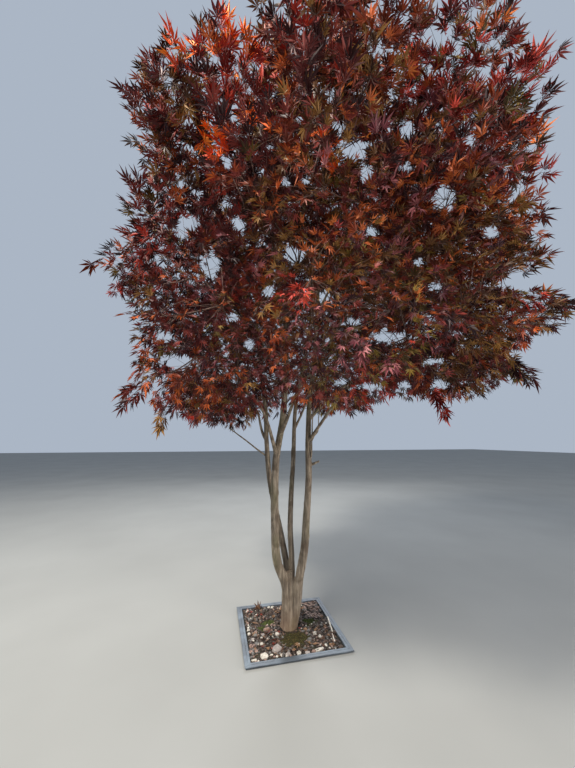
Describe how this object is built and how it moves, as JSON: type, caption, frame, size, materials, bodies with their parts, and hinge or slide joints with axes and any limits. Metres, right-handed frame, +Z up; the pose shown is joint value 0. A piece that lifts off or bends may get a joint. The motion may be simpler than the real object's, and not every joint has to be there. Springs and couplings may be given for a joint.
{
  "type": "japanese maple tree in a framed planting bed",
  "caption": "Multi-stemmed Japanese maple with dark red, deeply lobed leaves in a broad crown, rooted in a square bed with a raised metal frame.",
  "frame": {"origin": "middle of the flat cut under the trunk, at ground level", "axes": "+Z up, +X to the right along the bed frame's front edge, +Y away from the front"},
  "size_m": [3.5344, 3.1946, 5.2219],
  "materials": {
    "bark": "grey-brown bark with fine upright streaks and green-grey patches",
    "foliage": "dark red to brown-green leaves, some orange, satin",
    "metal": "blue-grey weathered coating",
    "soil": "dark soil with gravel, leaf litter and moss"
  },
  "bodies": {
    "root": {"trunk": "bark", "stem_left": "bark", "stem_back_left": "bark", "stem_middle": "bark", "stem_right": "bark", "bough_low_left": "bark", "bough_low_front": "bark", "bough_low_right_front": "bark", "bough_low_right": "bark", "bough_low_back_right": "bark", "bough_low_back_left": "bark", "bough_mid_left": "bark", "bough_mid_front": "bark", "bough_mid_right_front": "bark", "bough_mid_right": "bark", "bough_mid_back_right": "bark", "bough_mid_back_left": "bark", "bough_high_front": "bark", "bough_high_right_front": "bark", "bough_high_right": "bark", "foliage_low_left": "foliage", "foliage_low_front": "foliage", "foliage_low_right_front": "foliage", "foliage_low_right": "foliage", "foliage_low_back_right": "foliage", "foliage_low_back_left": "foliage", "foliage_mid_left": "foliage", "foliage_mid_front": "foliage", "foliage_mid_right_front": "foliage", "foliage_mid_right": "foliage", "foliage_mid_back_right": "foliage", "foliage_mid_back_left": "foliage", "foliage_high_left": "foliage", "foliage_high_front": "foliage", "foliage_high_right_front": "foliage", "foliage_high_right": "foliage", "foliage_high_back": "foliage", "foliage_high_back_left": "foliage", "foliage_top": "foliage", "bed_frame": "metal", "bed_fill": "soil"}
  },
  "joints": []
}
